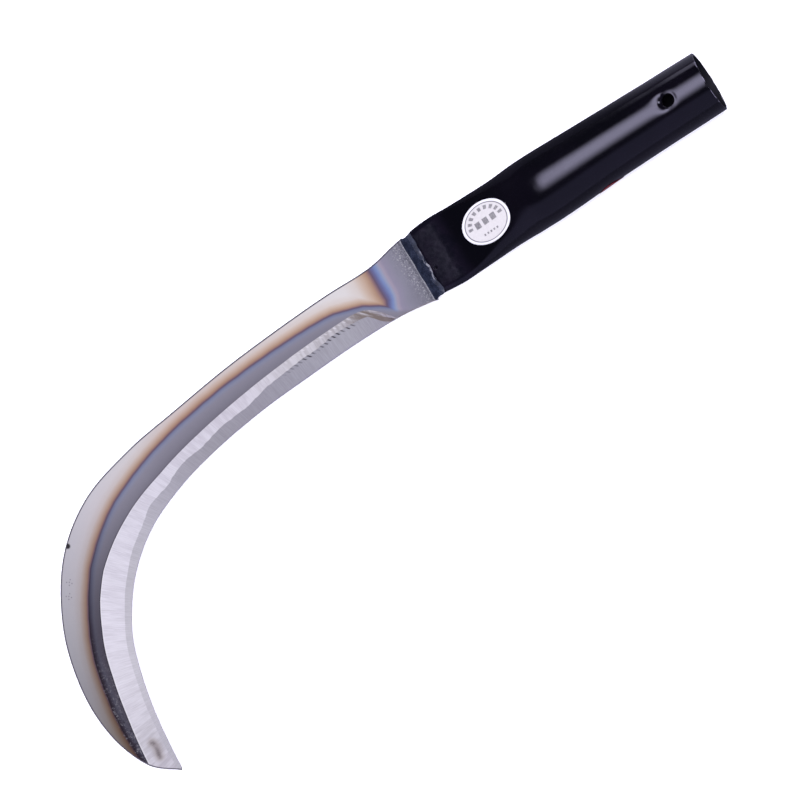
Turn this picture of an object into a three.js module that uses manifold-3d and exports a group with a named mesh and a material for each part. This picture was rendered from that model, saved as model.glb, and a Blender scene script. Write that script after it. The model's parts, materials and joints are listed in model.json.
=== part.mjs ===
// A socketed sickle head: a stamped and ground steel blade whose tang is welded into the flattened end
// of a rolled sheet-steel socket. A wooden handle would be driven into the round mouth of the socket and
// held by one screw through the dimpled hole.
//
// Millimetres, +Z up. The head lies on its rear side. While it is built, X = 0 is the mouth of the socket,
// the socket's axis runs along X with the blade towards -X, and +Y is the side of the blade's back. At the
// end the group moves so that the origin is the middle of the bottom of the whole head's box.

import * as THREE from "three";
import { mergeVertices } from "three/addons/utils/BufferGeometryUtils.js";
import Module from "manifold-3d";

const wasm = await Module();
wasm.setup();

// ---------------------------------------------------------------- driving dimensions

const MOUTH_DIAMETER = 32;
const SOCKET_WALL = 1.5;
const FLAT_HEIGHT = 6.5; // height of the socket where it is pressed flat round the tang
const SOCKET_END = 168; // distance from the mouth to the pressed end
const SCREW_HOLE = { fromMouth: 20.7, side: 1.4, radius: 3.5 };

const BLADE_THICKNESS = 3;
const EDGE_THICKNESS = 0.35;
const TANG = { width: 26, length: 18 }; // the length is that inside the socket
const SHOULDER_GAP = 5.3; // between the end of the socket and the shoulders of the blade, where the weld lies

const LABEL_THICKNESS = 0.2;
const LABEL_LIFT = 0.22; // room for the glue, and for the flat facets of the socket under it
const FRONT_LABEL = { fromMouth: 130.2, arc: 0.6, halfLength: 14.5, halfWidth: 10.4 };
const REAR_LABEL = { fromMouth: 68, arc: -30, halfLength: 7.2, halfWidth: 7.2 };

const BEAD_GAP = 0.05; // between a weld bead and the steel it was laid on
const BLADE_REAR = (FLAT_HEIGHT - BLADE_THICKNESS) / 2;
const BLADE_FRONT = BLADE_REAR + BLADE_THICKNESS;

// The socket from the mouth to the pressed end: [distance from the mouth, width, height].
// Its rear side stays straight, and the front is pressed down towards it.
const SOCKET_STATIONS = [
  [0, MOUTH_DIAMETER, MOUTH_DIAMETER],
  [30, 33, 31.9],
  [60, 34.1, 31.6],
  [85, 35.8, 31.5],
  [97, 36.4, 31.3],
  [103, 36.3, 30.4],
  [109, 36.1, 27.4],
  [122, 35.1, 19.6],
  [141, 35.8, 9.9],
  [150, 36.4, 7.1],
  [156, 36.8, FLAT_HEIGHT],
  [162, 36.2, FLAT_HEIGHT],
  [SOCKET_END, 35, FLAT_HEIGHT],
];

// The pressing left the tube's middle slightly off its axis: [distance from the mouth, sideways shift].
const SOCKET_SWAY = [
  [0, 0],
  [60, 0],
  [85, -0.3],
  [100, -0.4],
  [111, -0.35],
  [130, 0],
  [150, 0.3],
  [162, 0.4],
  [SOCKET_END, 0.4],
];

// The blade as ribs from the root to the tip. Each joins a point of the back to the matching point of the
// cutting edge, and gives how far the ground bevel reaches in from the edge: [back, edge, bevel].
const BLADE_RIBS = [
  [[-SOCKET_END - SHOULDER_GAP, 17.15], [-SOCKET_END - SHOULDER_GAP, -18.2], 0.6],
  [[-180, 16.1], [-180, -16.9], 0.6],
  [[-196, 13.3], [-196, -15.1], 0.6],
  [[-222, 13.3], [-222, -15], 11.6],
  [[-252, 12], [-250, -16.2], 11],
  [[-284.1, 9.6], [-278.9, -18], 10.9],
  [[-318.3, 5.3], [-309, -22.1], 10.4],
  [[-350.3, 0.7], [-336, -28.5], 11.2],
  [[-382.3, -8.8], [-361, -39], 13.7],
  [[-408.4, -28.4], [-381.5, -55.5], 16.1],
  [[-427.1, -58.6], [-396.5, -76.7], 15.7],
  [[-435, -90], [-403.5, -95.9], 14.2],
  [[-433.9, -117], [-408, -117], 14],
  [[-425.1, -138.7], [-410.2, -136], 14.4],
  [[-411.7, -150], [-411, -149.1], 14.4],
];
const BEVEL_FIRST_RIB = 2; // the bevel opens between this rib and the next

// ---------------------------------------------------------------- solids

// A closed surface through equal rings of points. An open row of rings is capped at both ends; a cyclic
// one joins its last ring to its first, as a wall with an inner and an outer side does.
function loft(rings, cyclic = false) {
  const around = rings[0].length;
  const index = [];
  const spans = cyclic ? rings.length : rings.length - 1;
  for (let r = 0; r < spans; r++) {
    const here = r * around;
    const next = ((r + 1) % rings.length) * around;
    for (let i = 0; i < around; i++) {
      const j = (i + 1) % around;
      index.push(here + i, here + j, next + j, here + i, next + j, next + i);
    }
  }
  if (!cyclic) {
    const last = spans * around;
    for (let i = 1; i < around - 1; i++) {
      index.push(0, i + 1, i, last, last + i, last + i + 1);
    }
  }
  const geometry = new THREE.BufferGeometry().setFromPoints(rings.flat());
  geometry.setIndex(index);
  return facingOut(geometry);
}

// Turns every triangle round if the surface encloses a negative volume.
function facingOut(geometry) {
  const position = geometry.getAttribute("position");
  const index = geometry.getIndex().array;
  const corner = [new THREE.Vector3(), new THREE.Vector3(), new THREE.Vector3()];
  let volume = 0;
  for (let i = 0; i < index.length; i += 3) {
    corner.forEach((c, k) => c.fromBufferAttribute(position, index[i + k]));
    volume += corner[0].dot(corner[1].clone().cross(corner[2]));
  }
  if (volume < 0) {
    const turned = Array.from(index);
    for (let i = 0; i < turned.length; i += 3) {
      [turned[i + 1], turned[i + 2]] = [turned[i + 2], turned[i + 1]];
    }
    geometry.setIndex(turned);
  }
  return geometry;
}

function toSolid(geometry) {
  const bare = geometry.clone();
  bare.deleteAttribute("normal");
  bare.deleteAttribute("uv");
  const merged = mergeVertices(bare, 1e-4);
  return new wasm.Manifold(
    new wasm.Mesh({
      numProp: 3,
      vertProperties: new Float32Array(merged.getAttribute("position").array),
      triVerts: new Uint32Array(merged.getIndex().array),
    }),
  );
}

function toGeometry(solid) {
  const mesh = solid.getMesh();
  const geometry = new THREE.BufferGeometry();
  geometry.setAttribute("position", new THREE.BufferAttribute(mesh.vertProperties, 3));
  geometry.setIndex(new THREE.BufferAttribute(mesh.triVerts, 1));
  return geometry;
}

// A prism along Z from z0 to z1 on an outline of [x, y] corners.
function prism(corners, z0, z1) {
  const outline = new THREE.Shape(corners.map(([x, y]) => new THREE.Vector2(x, y)));
  const solid = new THREE.ExtrudeGeometry(outline, { depth: z1 - z0, bevelEnabled: false });
  return solid.translate(0, 0, z0);
}

// ---------------------------------------------------------------- socket

const socketCurve = new THREE.CatmullRomCurve3(
  SOCKET_STATIONS.map(([fromMouth, width, height]) => new THREE.Vector3(fromMouth, width, height)),
  false,
  "catmullrom",
  0.5,
);

// Width and height of the socket at a distance from the mouth.
function socketSize(fromMouth) {
  let low = 0;
  let high = 1;
  for (let step = 0; step < 30; step++) {
    const middle = (low + high) / 2;
    if (socketCurve.getPoint(middle).x < fromMouth) low = middle;
    else high = middle;
  }
  const at = socketCurve.getPoint(low);
  return { width: at.y, height: at.z };
}

// Sideways shift of the tube's middle at a distance from the mouth.
function socketSway(fromMouth) {
  const next = Math.max(1, SOCKET_SWAY.findIndex(([distance]) => distance >= fromMouth));
  const [[d0, y0], [d1, y1]] = [SOCKET_SWAY[next - 1], SOCKET_SWAY[next]];
  return THREE.MathUtils.mapLinear(THREE.MathUtils.clamp(fromMouth, d0, d1), d0, d1, y0, y1);
}

// A pressed tube's section: two half rounds joined by flats. The ring of points lies inset inside the
// outer surface.
function socketRing(fromMouth, inset) {
  const HALF_ROUND_STEPS = 18;
  const { width, height } = socketSize(fromMouth);
  const radius = height / 2 - inset;
  const flat = (width - height) / 2;
  const ring = [];
  for (const side of [1, -1]) {
    for (let i = 0; i <= HALF_ROUND_STEPS; i++) {
      const angle = -Math.PI / 2 + (Math.PI * i) / HALF_ROUND_STEPS;
      const y = side * (flat + radius * Math.cos(angle));
      const z = height / 2 + side * radius * Math.sin(angle);
      ring.push(new THREE.Vector3(-fromMouth, y, z));
    }
  }
  // At the mouth the flats have no length, so their ends are kept a hair apart.
  const sway = socketSway(fromMouth);
  return ring.map((p, i) => p.setY(p.y + sway + (i <= HALF_ROUND_STEPS ? 0.01 : -0.01)));
}

function socketGeometry() {
  const STEP_LENGTH = 6;
  const steps = SOCKET_END / STEP_LENGTH;
  const distances = Array.from({ length: steps + 1 }, (_, i) => i * STEP_LENGTH);
  const outer = distances.map((d) => socketRing(d, 0));
  const inner = distances.map((d) => socketRing(d, SOCKET_WALL)).reverse();
  const wall = toSolid(loft([...outer, ...inner], true));

  const drill = new THREE.CylinderGeometry(SCREW_HOLE.radius, SCREW_HOLE.radius, MOUTH_DIAMETER / 2, 32);
  drill.rotateX(Math.PI / 2);
  drill.translate(-SCREW_HOLE.fromMouth, SCREW_HOLE.side, MOUTH_DIAMETER);
  return toGeometry(wall.subtract(toSolid(drill)));
}

// ---------------------------------------------------------------- blade

// Three curves through the ribs, so that equal parameters stay on one rib.
function ribCurve(toPoint) {
  return new THREE.CatmullRomCurve3(BLADE_RIBS.map(toPoint), false, "catmullrom", 0.5);
}
const backCurve = ribCurve(([back]) => new THREE.Vector3(back[0], back[1], 0));
const edgeCurve = ribCurve(([, edge]) => new THREE.Vector3(edge[0], edge[1], 0));

// How far the bevel reaches in from the edge at a rib number, which may lie between two ribs. It opens
// quickly after its first rib, where the grinding wheel ran in.
function bevelReach(rib) {
  const RUN_IN = 0.35;
  const full = BLADE_RIBS[BEVEL_FIRST_RIB + 1][2];
  const least = BLADE_RIBS[0][2];
  if (rib <= BEVEL_FIRST_RIB) return least;
  if (rib < BEVEL_FIRST_RIB + RUN_IN) return least + ((full - least) * (rib - BEVEL_FIRST_RIB)) / RUN_IN;
  const low = Math.min(Math.floor(rib), BLADE_RIBS.length - 2);
  const reach = (k) => Math.max(BLADE_RIBS[k][2], k <= BEVEL_FIRST_RIB ? full : 0);
  return THREE.MathUtils.lerp(reach(low), reach(low + 1), rib - low);
}

// The section at a rib number: flat rear, square back, flat front down to the bevel, thin edge.
function bladeRing(rib) {
  const t = rib / (BLADE_RIBS.length - 1);
  const back = backCurve.getPoint(t);
  const edge = edgeCurve.getPoint(t);
  const width = back.distanceTo(edge);
  const wanted = bevelReach(rib);
  const reach = Math.min(wanted, 0.8 * width);
  const ground = THREE.MathUtils.clamp((rib - BEVEL_FIRST_RIB) / 0.35, 0, 1);
  const edgeHeight = THREE.MathUtils.lerp(BLADE_THICKNESS, EDGE_THICKNESS, ground);
  const riseAt = (d) => edgeHeight + (BLADE_THICKNESS - edgeHeight) * Math.min(1, d / wanted);
  const bevel = edge.clone().lerp(back, reach / width);
  return [
    back.clone().setZ(BLADE_REAR),
    edge.clone().setZ(BLADE_REAR),
    edge.clone().setZ(BLADE_REAR + edgeHeight),
    bevel.clone().setZ(BLADE_REAR + riseAt(reach)),
    back.clone().setZ(BLADE_REAR + riseAt(width)),
  ];
}

function bladeGeometry() {
  const STEPS_PER_RIB = 6;
  const steps = (BLADE_RIBS.length - 1) * STEPS_PER_RIB;
  const rings = Array.from({ length: steps + 1 }, (_, i) => bladeRing(i / STEPS_PER_RIB));
  const plate = toSolid(loft(rings));

  const shoulder = -SOCKET_END - SHOULDER_GAP;
  const half = TANG.width / 2;
  const tangEnd = -SOCKET_END + TANG.length;
  const corners = [[shoulder - 1, -half], [tangEnd, -half], [tangEnd, half], [shoulder - 1, half]];
  const tang = toSolid(prism(corners, BLADE_REAR, BLADE_FRONT));
  return toGeometry(plate.add(tang));
}

// ---------------------------------------------------------------- weld

// A bead across the joint: its section is given as [x, z] corners and it runs along Y.
function beadGeometry(section, y0, y1) {
  const bead = prism(section, 0, y1 - y0);
  // The section's own plane turns upright: Y of the section becomes Z, and the run becomes Y.
  bead.rotateX(Math.PI / 2);
  return bead.translate(0, y1, 0);
}

const frontBead = () =>
  beadGeometry(
    [
      [-166.8, FLAT_HEIGHT + BEAD_GAP],
      [-167.4, FLAT_HEIGHT + 0.7],
      [-169.4, FLAT_HEIGHT + 0.8],
      [-171.6, FLAT_HEIGHT + 0.3],
      [-173.4, FLAT_HEIGHT - 0.7],
      [-174.4, BLADE_FRONT + BEAD_GAP],
      [-SOCKET_END - BEAD_GAP, BLADE_FRONT + BEAD_GAP],
      [-SOCKET_END - BEAD_GAP, FLAT_HEIGHT + BEAD_GAP],
    ].reverse(),
    -17.2,
    16.8,
  );

const rearBead = () =>
  beadGeometry(
    [
      [-SOCKET_END - BEAD_GAP, 0.15],
      [-SOCKET_END - BEAD_GAP, BLADE_REAR - BEAD_GAP],
      [-174.2, BLADE_REAR - BEAD_GAP],
      [-173.2, 0.7],
      [-171, 0.15],
    ],
    -16.8,
    16.4,
  );

// The weld's wrap round a narrow side fills the notch beside the tang, between the end of the socket and
// the shoulder of the blade. It sinks in a little at its middle.
function sideTack(side, reach) {
  const inner = TANG.width / 2 + BEAD_GAP;
  const shoulder = -SOCKET_END - SHOULDER_GAP + BEAD_GAP;
  const end = -SOCKET_END - BEAD_GAP;
  const corners = [
    [shoulder, inner],
    [shoulder, reach],
    [(shoulder + end) / 2, reach - 0.5],
    [end, reach],
    [end, inner],
  ].map(([x, y]) => [x, side * y]);
  return prism(side > 0 ? corners.reverse() : corners, BLADE_REAR, BLADE_FRONT);
}

// ---------------------------------------------------------------- labels

// A point above the socket's outer surface, at a distance from the mouth and an arc length round the
// section from the middle of the front, positive towards the back of the blade.
function overSocket(fromMouth, arc, lift) {
  const { width, height } = socketSize(fromMouth);
  const flat = (width - height) / 2;
  const radius = height / 2;
  const side = Math.sign(arc);
  const past = Math.max(0, Math.abs(arc) - flat) / radius;
  const y = past > 0 ? side * (flat + (radius + lift) * Math.sin(past)) : arc;
  const z = radius + (radius + lift) * Math.cos(past);
  return new THREE.Vector3(-fromMouth, y + socketSway(fromMouth), z);
}

// A thin oval sticker that follows the socket.
function labelGeometry({ fromMouth, arc, halfLength, halfWidth }) {
  const AROUND = 40;
  const rings = [];
  const ring = (scale, lift) => {
    const points = [];
    for (let i = 0; i < AROUND; i++) {
      const angle = (2 * Math.PI * i) / AROUND;
      const along = fromMouth + scale * halfLength * Math.cos(angle);
      points.push(overSocket(along, arc + scale * halfWidth * Math.sin(angle), lift));
    }
    return points;
  };
  for (const scale of [0.15, 0.4, 0.7, 1]) rings.push(ring(scale, LABEL_LIFT));
  for (const scale of [1, 0.7, 0.4, 0.15]) rings.push(ring(scale, LABEL_LIFT + LABEL_THICKNESS));
  return loft(rings);
}

// ---------------------------------------------------------------- assembly

const steel = new THREE.MeshStandardMaterial({ color: 0xb9b4bf, roughness: 0.32, metalness: 0.95 });
const paint = new THREE.MeshStandardMaterial({ color: 0x0b0b10, roughness: 0.28, metalness: 0.1 });
const weld = new THREE.MeshStandardMaterial({ color: 0x1a2530, roughness: 0.38, metalness: 0.25 });
const paper = new THREE.MeshStandardMaterial({ color: 0xf0eef2, roughness: 0.5, metalness: 0 });
const redPaper = new THREE.MeshStandardMaterial({ color: 0xb01a22, roughness: 0.5, metalness: 0 });

const sickleHead = new THREE.Group();

function addPiece(name, geometry, material) {
  const mesh = new THREE.Mesh(geometry, material);
  mesh.name = name;
  sickleHead.add(mesh);
}

addPiece("blade", bladeGeometry(), steel);
addPiece("socket", socketGeometry(), paint);
addPiece("weld_bead_front", frontBead(), weld);
addPiece("weld_bead_rear", rearBead(), weld);
addPiece("weld_tack_edge_side", sideTack(-1, 17.6), weld);
addPiece("weld_tack_spine_side", sideTack(1, 16.9), weld);
addPiece("inspection_label", labelGeometry(FRONT_LABEL), paper);
addPiece("rear_label", labelGeometry(REAR_LABEL), redPaper);

const box = new THREE.Box3().setFromObject(sickleHead);
const centre = box.getCenter(new THREE.Vector3());
sickleHead.position.set(-centre.x, -centre.y, -box.min.z);

export default sickleHead;
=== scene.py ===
# Looks of a socketed sickle head: a ground steel blade welded into a black painted sheet-steel socket.
#
# Shapes are worked out in the head's own millimetres: X = 0 is the mouth of the socket and the blade lies
# towards -X, Y = 0 is the socket's axis and +Y is the side of the blade's back, Z = 0 is the floor.
# to_row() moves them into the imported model's frame, in metres.

import json
import math

import bmesh
import bpy
import numpy as np
from mathutils import Matrix, Vector, noise


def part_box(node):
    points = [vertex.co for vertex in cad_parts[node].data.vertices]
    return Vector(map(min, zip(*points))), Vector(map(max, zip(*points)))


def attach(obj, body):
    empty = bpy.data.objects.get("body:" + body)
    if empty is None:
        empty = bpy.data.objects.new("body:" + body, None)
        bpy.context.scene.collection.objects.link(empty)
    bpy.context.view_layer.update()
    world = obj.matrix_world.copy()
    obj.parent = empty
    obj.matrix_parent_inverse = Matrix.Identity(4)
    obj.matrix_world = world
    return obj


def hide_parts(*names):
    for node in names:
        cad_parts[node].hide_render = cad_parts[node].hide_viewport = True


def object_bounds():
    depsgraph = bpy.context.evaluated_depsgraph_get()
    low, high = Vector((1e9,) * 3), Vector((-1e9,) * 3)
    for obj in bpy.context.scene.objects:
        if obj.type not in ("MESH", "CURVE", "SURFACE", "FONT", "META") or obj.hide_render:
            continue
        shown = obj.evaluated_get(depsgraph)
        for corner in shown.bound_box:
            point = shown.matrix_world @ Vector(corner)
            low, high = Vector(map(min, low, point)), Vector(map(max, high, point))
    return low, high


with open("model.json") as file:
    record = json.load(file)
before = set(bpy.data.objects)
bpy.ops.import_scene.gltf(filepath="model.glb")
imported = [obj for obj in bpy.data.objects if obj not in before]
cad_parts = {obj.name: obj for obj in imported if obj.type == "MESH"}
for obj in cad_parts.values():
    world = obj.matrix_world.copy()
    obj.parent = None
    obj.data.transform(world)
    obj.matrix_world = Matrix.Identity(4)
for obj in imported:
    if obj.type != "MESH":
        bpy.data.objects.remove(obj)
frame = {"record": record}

CAD_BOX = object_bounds()
BODY = "root"
MM = 0.001
QUARTER_TURN = np.radians([22, 45, 68, 90])

SOCKET_LOW, SOCKET_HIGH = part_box("socket")
BLADE_LOW, BLADE_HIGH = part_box("blade")
RIM_MOUNT = next(m for m in frame["record"]["mounts"] if m["name"] == "socket_mouth_rim")
MOUTH_X, AXIS_Y = RIM_MOUNT["pos_m"][:2]
FLOOR_Z = CAD_BOX[0].z


def to_row(points):
    """Head millimetres to row-frame metres."""
    return np.asarray(points, float) * MM + np.array([MOUTH_X, AXIS_Y, FLOOR_Z])


# -------- driving dimensions, in millimetres

MOUTH_DIAMETER = (SOCKET_HIGH.z - SOCKET_LOW.z) / MM
SOCKET_END = (SOCKET_HIGH.x - SOCKET_LOW.x) / MM
WALL = 1.5
FLAT_HEIGHT = 6.5
BLADE_REAR = (BLADE_LOW.z - FLOOR_Z) / MM
BLADE_FRONT = (BLADE_HIGH.z - FLOOR_Z) / MM
BLADE_THICKNESS = BLADE_FRONT - BLADE_REAR
SHOULDER_GAP = 5.3
BLADE_ROOT = -SOCKET_END - SHOULDER_GAP
TANG_LENGTH, TANG_HALF = 23.0, 13.0

SCREW_HOLE = {"from_mouth": 20.6, "side": 1.5, "radius": 3.4}

# Distance from the mouth, width and height of the socket, as in the CAD model.
SOCKET_STATIONS = np.array([
    (0, MOUTH_DIAMETER, MOUTH_DIAMETER),
    (30, 33, 31.9),
    (60, 34.1, 31.6),
    (85, 35.8, 31.5),
    (97, 36.4, 31.3),
    (103, 36.3, 30.4),
    (109, 36.1, 27.4),
    (122, 35.1, 19.6),
    (141, 35.8, 9.9),
    (150, 36.4, 7.1),
    (156, 36.8, FLAT_HEIGHT),
    (162, 36.2, FLAT_HEIGHT),
    (SOCKET_END, 35, FLAT_HEIGHT),
])

# The pressing left the tube's middle slightly off its axis: distance from the mouth, sideways shift.
SOCKET_SWAY = ((0, 0), (60, 0), (85, -0.3), (100, -0.4), (111, -0.35), (130, 0), (150, 0.3), (162, 0.4),
               (SOCKET_END, 0.4))

# The blade's ribs, as in the CAD model: back x, y and edge x, y.
RIBS = np.array([
    (BLADE_ROOT, 17.15, BLADE_ROOT, -18.2),
    (-180, 16.1, -180, -16.9),
    (-196, 13.3, -196, -15.1),
    (-222, 13.3, -222, -15),
    (-252, 12, -250, -16.2),
    (-284.1, 9.6, -278.9, -18),
    (-318.3, 5.3, -309, -22.1),
    (-350.3, 0.7, -336, -28.5),
    (-382.3, -8.8, -361, -39),
    (-408.4, -28.4, -381.5, -55.5),
    (-427.1, -58.6, -396.5, -76.7),
    (-435, -90, -403.5, -95.9),
    (-433.9, -117, -408, -117),
    (-425.1, -138.7, -410.2, -136),
    (-411.7, -150, -411, -149.1),
])
LAST_RIB = len(RIBS) - 1

# Distances in from the cutting edge, by rib number: the main bevel, the finer bevel at the edge itself,
# and the line where the heat tint turns.
BEVEL = ((2, 0.3), (2.1, 3.2), (2.2, 5.9), (2.3, 8.4), (2.4, 10.4), (2.5, 11.7), (2.6, 12.5),
         (2.75, 13), (3.2, 12.9), (4, 13), (5, 12.1), (6, 11.8), (7, 12), (8, 13.6), (9, 16.1), (9.5, 16),
         (10, 14.8), (11, 14), (12, 13.9), (13, 14.2), (14, 14.4))
FINE_BEVEL = ((2, 0.1), (2.2, 0.3), (2.32, 2.7), (2.43, 6.2), (2.5, 8.2), (2.63, 8.9), (2.87, 9.4),
              (3.2, 9.1), (3.5, 9.1), (4, 8.9), (5, 6.8), (6, 6), (7, 6.4), (8, 5.3), (9, 4), (10, 3.3),
              (11, 3.4), (12, 3), (13, 2.6), (14, 2))
TINT_LINE = ((1.9, 5.5), (2.05, 7.4), (2.2, 9.8), (2.35, 11.8), (2.47, 13.8), (2.72, 16), (3, 18.5),
             (3.2, 19.3), (3.5, 20), (4, 20.7), (5, 21.3), (6, 22.1), (7, 22.3), (8, 22.9), (9, 22.9),
             (10, 21.6), (11, 20.8), (12, 19.3), (12.7, 17.2), (13, 16), (14, 14.5))

# Where the front weld bead ends on each side, by X. The rear one is a little shorter.
WELD_EDGE_SIDE = ((-174.6, -17.9), (-173.4, -17.9), (-171.6, -17.3), (-169.4, -17), (-168, -17.2))
WELD_SPINE_SIDE = ((-174.6, 16.9), (-173.4, 16.9), (-171.6, 16.4), (-169.4, 16.7), (-168, 17.2),
                   (-167, 17.3))
REAR_WELD_SHORTER = 0.9
LUMP_HALF_SIZE = (3.2, 1.75, 1.9)
LUMP_HEIGHT = 3.3

# The labels: their middle along the socket, and round it from the middle of the front, their half length
# and half width, and the seed of their uneven edge.
INSPECTION_LABEL = (130.2, 0.45, 14.35, 10.3, 41)
REAR_LABEL = (68, -30, 7.1, 7.1, 43)

# Marks on the front, in head millimetres: a nick at the back's corner, a burn in the ground bevel near
# the point, and punched dots.
NICK = (-402.4, -23.8)
BURN_X = (-417, -416.7, -416.5, -416.4, -416.5, -416.7, -417, -417.3, -417.4)
BURN = [(x, -130.5 - k) for k, x in enumerate(BURN_X)]
DOT_GROUPS = ((-411.4, -39.7), (-415.4, -45.6))
DOT_PATTERN = ((0, 0), (1.1, 0.9), (-1.2, 0.7), (0.9, -1.2), (-0.8, -1.3))
DOT_RADIUS = 0.34

# Marks in the socket's paint: a painted glint (x, y, z) on a dried drop in the dent of the hole, a pit
# (x, y) by the weld.
DROP_GLINT = (-24.7, 2.9, 30.6)
WELD_PIT = (-165.4, -4.3)

# Spacing of the dents the grinding wheel's chatter left, in millimetres along the blade.
CHATTER_PITCH = 2.8


# -------- curves and noise

def spline(points, at):
    """A Catmull-Rom curve through rows of numbers, at each parameter in at (0 to len - 1)."""
    points = np.asarray(points, float)
    last = len(points) - 1
    at = np.clip(np.asarray(at, float), 0, last)
    low = np.minimum(at.astype(int), last - 1)
    f = (at - low)[:, None]
    before = np.where((low > 0)[:, None], points[low - 1], 2 * points[0] - points[1])
    after_next = np.where((low + 2 <= last)[:, None], points[np.minimum(low + 2, last)],
                          2 * points[last] - points[last - 1])
    here, after = points[low], points[low + 1]
    v0, v1 = (after - before) / 2, (after_next - here) / 2
    return ((2 * here - 2 * after + v0 + v1) * f ** 3
            + (-3 * here + 3 * after - 2 * v0 - v1) * f ** 2 + v0 * f + here)


def lookup(table, at):
    """A value between the rows of a (position, value) table."""
    rows = np.array(table)
    return np.interp(at, rows[:, 0], rows[:, 1])


def smoothstep(low, high, value):
    t = np.clip((value - low) / (high - low), 0, 1)
    return t * t * (3 - 2 * t)


def grain(points, size, seed=0.0, octaves=1):
    """Smooth noise from -1 to 1 over head millimetres, with features of about the given size."""
    total = np.zeros(len(points))
    weight = 1.0
    for octave in range(octaves):
        scaled = points / (size / 2 ** octave) + seed * 17.3 + octave * 5.1
        total += weight * np.array([noise.noise(Vector(p)) for p in scaled])
        weight *= 0.5
    return total


# -------- meshes

def make_piece(name, points, faces, material, node, attributes):
    """A closed smooth mesh from head millimetres, which rides on the body and stands for a CAD node."""
    mesh = bpy.data.meshes.new(name)
    mesh.from_pydata(to_row(points).tolist(), [], [tuple(map(int, f)) for f in faces])
    mesh.validate()
    outward = bmesh.new()
    outward.from_mesh(mesh)
    bmesh.ops.recalc_face_normals(outward, faces=outward.faces)
    outward.to_mesh(mesh)
    outward.free()
    for key, values in attributes.items():
        layer = mesh.attributes.new(key, "FLOAT", "POINT")
        layer.data.foreach_set("value", np.asarray(values, np.float32))
    mesh.polygons.foreach_set("use_smooth", [True] * len(mesh.polygons))
    mesh.materials.append(material)
    obj = bpy.data.objects.new(name, mesh)
    bpy.context.scene.collection.objects.link(obj)
    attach(obj, BODY)
    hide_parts(node)
    return obj


def grid_faces(rows, columns, wrap_rows=False, wrap_columns=False, keep=None):
    """Quads over a rows x columns grid of points. keep(row, column) may leave cells out."""
    r = np.arange(rows if wrap_rows else rows - 1)
    c = np.arange(columns if wrap_columns else columns - 1)
    rr, cc = np.meshgrid(r, c, indexing="ij")
    r2, c2 = (rr + 1) % rows, (cc + 1) % columns
    quads = np.stack([rr * columns + cc, rr * columns + c2, r2 * columns + c2, r2 * columns + cc], -1)
    if keep is not None:
        return quads[keep(rr, cc)]
    return quads.reshape(-1, 4)


def border(numbers):
    """The closed loop round a grid of point numbers."""
    return np.concatenate([numbers[0], numbers[1:, -1], numbers[-1, -2::-1], numbers[-2:0:-1, 0]])


def bridge(first, second):
    """Quads between two closed loops of points."""
    return np.stack([first, np.roll(first, -1), np.roll(second, -1), second], -1)


def fan(tip, loop):
    """Triangles from a point to a closed loop of points."""
    return [(tip, a, b) for a, b in zip(loop, np.roll(loop, -1))]


# -------- node materials

def linear(colour):
    """sRGB of 0 to 255 as linear 0 to 1."""
    c = np.asarray(colour, float) / 255
    return tuple(np.where(c <= 0.04045, c / 12.92, ((c + 0.055) / 1.055) ** 2.4))


class Tree:
    """The node tree of a material, a light or the world, built one call at a time."""

    def __init__(self, owner):
        owner.use_nodes = True
        self.owner = owner
        self.nodes = owner.node_tree.nodes
        self.links = owner.node_tree.links

    def put(self, socket, value):
        """Sets an input to a number or colour, or links an output to it."""
        if isinstance(value, bpy.types.NodeSocket):
            self.links.new(value, socket)
        elif isinstance(value, tuple) and len(value) == 3 and socket.type == "RGBA":
            socket.default_value = (*value, 1)
        else:
            socket.default_value = value

    def node(self, kind, **inputs):
        """A new node. An underscore in an input's name stands for a space."""
        n = self.nodes.new("ShaderNode" + kind)
        for key, value in inputs.items():
            self.put(n.inputs[key.replace("_", " ")], value)
        return n

    def math(self, operation, *values, kind="Math"):
        n = self.node(kind)
        n.operation = operation
        for socket, value in zip(n.inputs, values):
            self.put(socket, value)
        return n.outputs["Value"]

    def times(self, product, *factors):
        for factor in factors:
            product = self.math("MULTIPLY", product, factor)
        return product

    def span(self, value, low, high, to_low=0.0, to_high=1.0):
        """Value mapped smoothly from low..high to to_low..to_high, and clamped there."""
        n = self.node("MapRange", Value=value, From_Min=low, From_Max=high, To_Min=to_low, To_Max=to_high)
        n.interpolation_type = "SMOOTHSTEP"
        return n.outputs["Result"]

    def level(self, factor, a, b):
        """A number between the numbers a and b."""
        n = self.node("Mix")
        for index, value in ((0, factor), (2, a), (3, b)):
            self.put(n.inputs[index], value)
        return n.outputs[0]


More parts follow.
